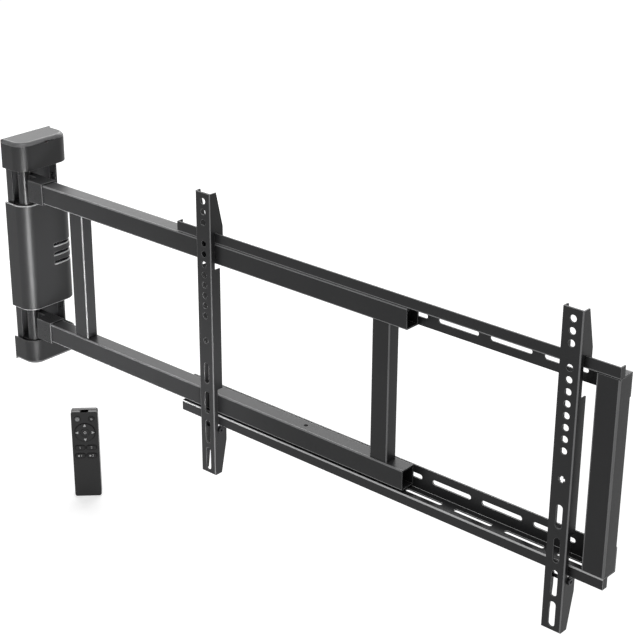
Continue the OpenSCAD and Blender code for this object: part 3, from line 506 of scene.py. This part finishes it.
# marks on the keys: arrow heads, plain numbers and generic signs, from just under to just over the face;
# the remote is turned by an eighth, so its face looks along KEY_N
DIAGONAL = math.sqrt(0.5)
KEY_X, KEY_N = Vector((DIAGONAL, -DIAGONAL, 0)), Vector((-DIAGONAL, -DIAGONAL, 0))
SUNK, RAISED = 0.02 * MM, 0.03 * MM
NUMBER_HALF, NUMBER_MID = 0.025 * MM, 0.01 * MM


def key_face(key):
    """Centre of a key's front face."""
    pts = [v.co for v in NODES[key].data.vertices]
    front = max(p.dot(KEY_N) for p in pts)
    us = [p.dot(KEY_X) for p in pts]
    zs = [p.z for p in pts]
    return KEY_N * front + KEY_X * (max(us) + min(us)) / 2 + Z * (max(zs) + min(zs)) / 2


def mark(name, key, pts):
    """A flat mark from its outline, in mm across and up from the middle of the key."""
    centre = key_face(key)
    flat = [centre + KEY_X * (u * MM) + Z * (v * MM) for u, v in pts]
    solid(name, [[p - KEY_N * SUNK for p in flat], [p + KEY_N * RAISED for p in flat]], key, MAT["legend"])


def bar(name, key, across, up):
    """A flat rectangle, between two places across and two up, in mm."""
    mark(name, key, [(across[0], up[0]), (across[1], up[0]), (across[1], up[1]), (across[0], up[1])])


def band(name, key, r0, r1, a0=0, a1=360, steps=40):
    """A flat ring or arc, between two radii in mm and two angles in degrees."""
    centre = key_face(key)
    whole = a1 - a0 >= 360
    rings = []
    for k in range(steps if whole else steps + 1):
        a = math.radians(a0 + (a1 - a0) * k / steps)
        way = KEY_X * math.cos(a) + Z * math.sin(a)
        rings.append([centre + way * r0 * MM - KEY_N * SUNK, centre + way * r1 * MM - KEY_N * SUNK,
                      centre + way * r1 * MM + KEY_N * RAISED, centre + way * r0 * MM + KEY_N * RAISED])
    solid(name, rings, key, MAT["legend"], whole)


def number(name, key, text, size, across=0):
    """A plain number, its size and place in mm."""
    curve = bpy.data.curves.new(name, "FONT")
    curve.body = text
    curve.size = size * MM
    curve.extrude = NUMBER_HALF
    curve.align_x = "CENTER"
    curve.align_y = "CENTER"
    writing = bpy.data.objects.new(name + "_curve", curve)
    scene.collection.objects.link(writing)
    bpy.context.view_layer.update()
    mesh = bpy.data.meshes.new_from_object(writing.evaluated_get(bpy.context.evaluated_depsgraph_get()))
    bpy.data.objects.remove(writing)
    centre = key_face(key) + KEY_X * across * MM + KEY_N * NUMBER_MID
    for v in mesh.vertices:
        v.co = centre + KEY_X * v.co.x + Z * v.co.y + KEY_N * v.co.z
    mesh.materials.clear()
    mesh.materials.append(MAT["legend"])
    made = bpy.data.objects.new(name, mesh)
    scene.collection.objects.link(made)
    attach(made, NODES[key]["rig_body"])


ARROW_TIP, ARROW_BASE, ARROW_HALF = 16.2, 11.2, 2.5
NUMBER_SIZE, SMALL_NUMBER_SIZE, NUMBER_ACROSS = 6, 5.4, 1.8
for name, (du, dv) in {"up": (0, 1), "down": (0, -1), "left": (-1, 0), "right": (1, 0)}.items():
    mark("arrow_" + name, "direction_ring",
         [(du * ARROW_TIP, dv * ARROW_TIP),
          (du * ARROW_BASE - dv * ARROW_HALF, dv * ARROW_BASE + du * ARROW_HALF),
          (du * ARROW_BASE + dv * ARROW_HALF, dv * ARROW_BASE - du * ARROW_HALF)])
band("select_mark", "ok_key", 1.5, 2.2)
band("setup_mark", "set_key", 1.2, 1.7)
bar("setup_bar", "set_key", (-0.5, 0.5), (-0.5, 0.5))
band("power_mark", "power_key", 1.8, 2.3, 115, 425)
bar("power_bar", "power_key", (-0.25, 0.25), (0.5, 2.7))
number("preset_one_mark", "preset_one_key", "1", NUMBER_SIZE)
number("preset_two_mark", "preset_two_key", "2", NUMBER_SIZE)
for key, digit in (("memory_one_key", "1"), ("memory_two_key", "2")):
    bar(key + "_dot", key, (-4, -1.2), (-1.4, 1.4))
    number(key + "_mark", key, digit, SMALL_NUMBER_SIZE, NUMBER_ACROSS)


# small turned pieces

# two pan-head screws in the bracket's far flange, each a little under the middle of a hinge opening
SCREW_HEAD = ((1.2, 0.2), (1.2, 1.3), (1.6, 1.7), (2.2, 1.6), (2.7, 1.1), (2.8, 0), (2.8, -0.2), (1.2, -0.2))
BRACKET_T, SCREW_Y, SCREW_DROP = 3 * MM, -11 * MM, 2 * MM
flange_x = box_of("wall_bracket")[1].x - BRACKET_T
openings = ((cover_hi.z, box_of("top_cap")[0].z), (box_of("bottom_cap")[1].z, cover_lo.z))
for k, (low, high) in enumerate(openings):
    seat = Vector((flange_x, SCREW_Y, (low + high) / 2 - SCREW_DROP))
    turned("flange_screw_%d" % k, SCREW_HEAD, seat, (-X, Y, Z), "wall_bracket",
           MAT["black_zinc"])

# a small press-in plug in the lower tube's top wall
PLUG = ((0.5, -0.6), (3.0, -0.6), (3.0, 0.15), (2.7, 0.3), (0.5, 0.3))
PLUG_FROM_END = 180.5 * MM
tube_lo, tube_hi = box_of("lower_tube")
seat = Vector(((tube_lo.x + tube_hi.x) / 2, tube_lo.y + PLUG_FROM_END, tube_hi.z))
turned("tube_plug", PLUG, seat, (Z, X, Y), "lower_tube", MAT["shade_and_plug_black"])

# the nodes that stay as the CAD has them
for name, node in NODES.items():
    if not node.hide_render:
        node.data.materials.clear()
        node.data.materials.append(MAT["black_zinc" if name == "roll_pins" else SLOT[name]])


# camera, solved from the photograph's straight lines: the first four are in its pixels

PICTURE, FOCAL, OFF_X, OFF_Y = 640, 1620, 25, -20
AZ, EL = math.radians(-47.92), math.radians(22.95)
EYE = Vector((-1.5289, -1.9507, 0.9355))
SENSOR, CLIP_END = 36, 50


def photo_camera():
    data = bpy.data.cameras.new("camera")
    camera = bpy.data.objects.new("camera", data)
    scene.collection.objects.link(camera)
    toward = Vector((math.sin(AZ) * math.cos(EL), -math.cos(AZ) * math.cos(EL), math.sin(EL)))
    right = Vector((math.cos(AZ), math.sin(AZ), 0))
    turn = Matrix((right, toward.cross(right), toward)).transposed()
    camera.matrix_world = Matrix.Translation(EYE) @ turn.to_4x4()
    data.sensor_width = SENSOR
    data.lens = FOCAL / PICTURE * SENSOR
    data.shift_x = OFF_X / PICTURE
    data.shift_y = OFF_Y / PICTURE
    data.clip_end = CLIP_END
    scene.camera = camera


# floor, background and lamps

FLOOR_Z = box_of("remote_front_shell")[0].z
FLOOR_HALF, FLOOR_TONE = 30, 0.75
# the lamps fall off away from the object, so the floor's own white rises over this distance
FADE_REACH, FADE_GLOW = (1.4, 4.5), (0.54, 0.9)
DIM, WHITE = 0.2, 1.0
# name, place, aim, width and height in metres, radiance and spread in degrees
LAMPS = (
    ("light_back", (1.75, 1.15, 1.75), (-0.03, -0.55, 0), 3.4, 2.2, 2.8, 180),
    ("light_top", (-0.4, -0.9, 2.4), (-0.05, -0.6, 0), 1.8, 1.8, 2.4, 180),
    ("light_left", (-2.6, -0.3, 0.45), (-0.05, -0.5, 0), 1.6, 1.4, 1.25, 180),
    ("light_low", (-0.57, -0.8, FLOOR_Z + 0.17), (-0.06, 0, 0), 0.5, 0.3, 2.0, 24),
)


def seen_directly(tree):
    """1 for rays from the camera, off gloss and through glass, which show the white background."""
    path = tree.nodes.new("ShaderNodeLightPath")
    result = path.outputs["Is Camera Ray"]
    for ray in ("Is Transmission Ray", "Is Glossy Ray"):
        most = tree.nodes.new("ShaderNodeMath")
        most.operation = "MAXIMUM"
        tree.links.new(result, most.inputs[0])
        tree.links.new(path.outputs[ray], most.inputs[1])
        result = most.outputs[0]
    return result


def white_material():
    """The floor's pale paint, with a glow that only the rays that see it directly meet."""
    material = bpy.data.materials.new("floor_white")
    material.use_nodes = True
    tree = material.node_tree
    tree.nodes.clear()
    out = tree.nodes.new("ShaderNodeOutputMaterial")
    paint = tree.nodes.new("ShaderNodeBsdfDiffuse")
    paint.inputs[0].default_value = (FLOOR_TONE, FLOOR_TONE, FLOOR_TONE, 1)
    glow = tree.nodes.new("ShaderNodeEmission")
    glow.inputs[0].default_value = (1, 1, 1, 1)
    coord = tree.nodes.new("ShaderNodeTexCoord")
    reach = tree.nodes.new("ShaderNodeVectorMath")
    reach.operation = "LENGTH"
    tree.links.new(coord.outputs["Object"], reach.inputs[0])
    fade = tree.nodes.new("ShaderNodeMapRange")
    fade.interpolation_type = "SMOOTHSTEP"
    for socket, value in zip(("From Min", "From Max", "To Min", "To Max"), FADE_REACH + FADE_GLOW):
        fade.inputs[socket].default_value = value
    tree.links.new(reach.outputs["Value"], fade.inputs["Value"])
    strength = tree.nodes.new("ShaderNodeMath")
    strength.operation = "MULTIPLY"
    tree.links.new(fade.outputs[0], strength.inputs[1])
    tree.links.new(seen_directly(tree), strength.inputs[0])
    tree.links.new(strength.outputs[0], glow.inputs[1])
    add = tree.nodes.new("ShaderNodeAddShader")
    tree.links.new(paint.outputs[0], add.inputs[0])
    tree.links.new(glow.outputs[0], add.inputs[1])
    tree.links.new(add.outputs[0], out.inputs[0])
    return material


def white_floor():
    """A floor at the foot of the remote."""
    mesh = bpy.data.meshes.new("floor")
    corners = ((-1, -1), (1, -1), (1, 1), (-1, 1))
    mesh.from_pydata([(x * FLOOR_HALF, y * FLOOR_HALF, FLOOR_Z) for x, y in corners], [], [(0, 1, 2, 3)])
    floor = bpy.data.objects.new("floor", mesh)
    scene.collection.objects.link(floor)
    mesh.materials.append(white_material())


def studio_world():
    """A dim soft light all round, which looks white where it is seen directly."""
    world = bpy.data.worlds.new("studio")
    scene.world = world
    world.use_nodes = True
    tree = world.node_tree
    tree.nodes.clear()
    out = tree.nodes.new("ShaderNodeOutputWorld")
    mix = tree.nodes.new("ShaderNodeMixShader")
    tree.links.new(seen_directly(tree), mix.inputs[0])
    for socket, level in ((1, DIM), (2, WHITE)):
        sky = tree.nodes.new("ShaderNodeBackground")
        sky.inputs[0].default_value = (1, 1, 1, 1)
        sky.inputs[1].default_value = level
        tree.links.new(sky.outputs[0], mix.inputs[socket])
    tree.links.new(mix.outputs[0], out.inputs[0])


def area(name, place, aim, width, height, radiance, spread):
    """A rectangular lamp that the camera doesn't see."""
    data = bpy.data.lights.new(name, "AREA")
    data.shape = "RECTANGLE"
    data.size = width
    data.size_y = height
    data.energy = radiance * math.pi * width * height
    data.spread = math.radians(spread)
    lamp = bpy.data.objects.new(name, data)
    scene.collection.objects.link(lamp)
    lamp.location = place
    lamp.rotation_euler = (Vector(aim) - Vector(place)).to_track_quat("-Z", "Y").to_euler()
    lamp.visible_camera = False


photo_camera()
white_floor()
studio_world()
for lamp in LAMPS:
    area(*lamp)
scene.view_settings.view_transform = "Standard"
bpy.context.view_layer.update()
